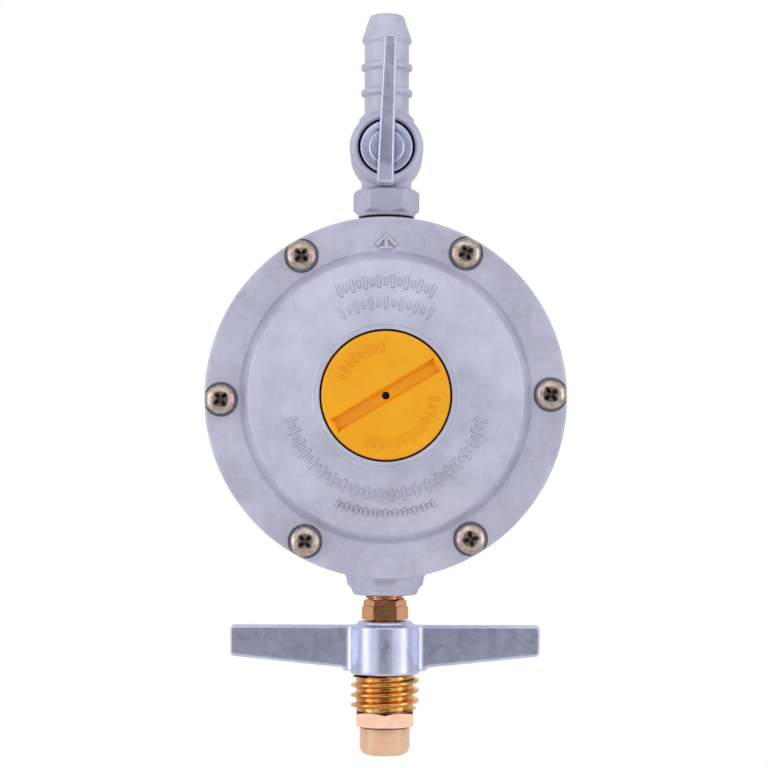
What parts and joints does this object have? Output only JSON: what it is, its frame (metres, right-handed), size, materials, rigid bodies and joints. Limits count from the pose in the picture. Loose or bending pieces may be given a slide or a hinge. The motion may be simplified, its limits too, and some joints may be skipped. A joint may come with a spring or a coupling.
{
  "type": "gas pressure regulator",
  "caption": "Low-pressure cylinder gas regulator with a bolted round cover, vented cap, quarter-turn outlet cock, hose tail and wing-nut inlet.",
  "frame": {"origin": "centre of the inlet nose's tip, on the flow axis", "axes": "+Z along the flow, from the inlet nose up to the hose tail; +Y from the round cover to the bowl's back, so the cover faces -Y; +X to the right as seen from the cover side"},
  "size_m": [0.0824, 0.0374, 0.174],
  "materials": {
    "cast_zinc": "satin",
    "plated_screws": "satin",
    "brass": "satin",
    "steel": "satin",
    "yellow_plastic": "satin",
    "dark_plastic": "matte",
    "tan_polymer": "satin",
    "rubber": "matte",
    "fibre": "matte"
  },
  "bodies": {
    "housing": {"body_casting": "cast_zinc", "cover_casting": "cast_zinc", "cover_screw_1": "plated_screws", "cover_screw_2": "plated_screws", "cover_screw_3": "plated_screws", "cover_screw_4": "plated_screws", "cover_screw_5": "plated_screws", "cover_screw_6": "plated_screws", "diaphragm": "rubber", "main_spring": "steel", "outlet_valve_body": "cast_zinc", "outlet_seal_ring": "fibre", "inlet_nipple": "brass", "inlet_tip_nut": "brass", "nose_seal": "tan_polymer", "inlet_filter": "brass", "orifice_nozzle": "brass", "lever_pin": "steel"},
    "wing_nut": {"wing_nut": "cast_zinc", "threaded_sleeve": "brass"},
    "shutoff": {"shutoff_plug": "cast_zinc", "plug_oring_front": "rubber", "plug_oring_rear": "rubber", "plug_spring_washer": "steel", "plug_screw": "steel"},
    "cap_carrier": {"vent_screen": "steel"},
    "vent_cap": {"vent_cap": "yellow_plastic"},
    "adjuster_seat": {"upper_spring_seat": "steel"},
    "adjuster": {"adjusting_screw": "dark_plastic"},
    "diaphragm_centre": {"diaphragm_plate": "steel", "backing_washer": "steel", "diaphragm_post": "brass", "diaphragm_nut": "steel"},
    "valve_lever": {"valve_lever": "cast_zinc"},
    "valve_pad": {"pad_holder": "brass", "seat_pad": "rubber"}
  },
  "joints": [
    {"name": "wing_nut_spin", "type": "hinge", "parent": "housing", "child": "wing_nut", "pos_m": [0, 0, 0.0245], "axis": [0, 0, 1], "continuous": true},
    {"name": "shutoff_turn", "type": "hinge", "parent": "housing", "child": "shutoff", "pos_m": [0, 0, 0.1415], "axis": [0, 1, 0], "range_deg": [0, 90]},
    {"name": "cap_travel", "type": "slide", "parent": "housing", "child": "cap_carrier", "axis": [0, -1, 0], "range_m": [0, 0.004]},
    {"name": "cap_turn", "type": "hinge", "parent": "cap_carrier", "child": "vent_cap", "pos_m": [0, -0.0233, 0.0831], "axis": [0, -1, 0], "range_deg": [0, 900]},
    {"name": "adjuster_travel", "type": "slide", "parent": "housing", "child": "adjuster_seat", "axis": [0, 1, 0], "range_m": [0, 0.0015]},
    {"name": "adjuster_turn", "type": "hinge", "parent": "adjuster_seat", "child": "adjuster", "pos_m": [0, -0.0183, 0.0831], "axis": [0, 1, 0], "range_deg": [0, 360]},
    {"name": "diaphragm_lift", "type": "slide", "parent": "housing", "child": "diaphragm_centre", "axis": [0, -1, 0], "range_m": [0, 0.002], "stiffness_N_per_m": 800, "springref_m": -0.003, "deforming": ["diaphragm", "main_spring"]},
    {"name": "valve_lever_swing", "type": "hinge", "parent": "housing", "child": "valve_lever", "pos_m": [0, 0.0065, 0.0698], "axis": [1, 0, 0], "range_deg": [0, 8.7]},
    {"name": "valve_pad_slide", "type": "slide", "parent": "housing", "child": "valve_pad", "axis": [0, 0, -1], "range_m": [0, 0.00099]}
  ],
  "couplings": [
    {"joint": "cap_turn", "follows": "cap_travel", "rad_per_m": 3927},
    {"joint": "adjuster_turn", "follows": "adjuster_travel", "rad_per_m": 4188.8},
    {"joint": "valve_lever_swing", "follows": "diaphragm_lift", "rad_per_m": 75.188},
    {"joint": "valve_pad_slide", "follows": "diaphragm_lift", "ratio": 0.48872}
  ]
}
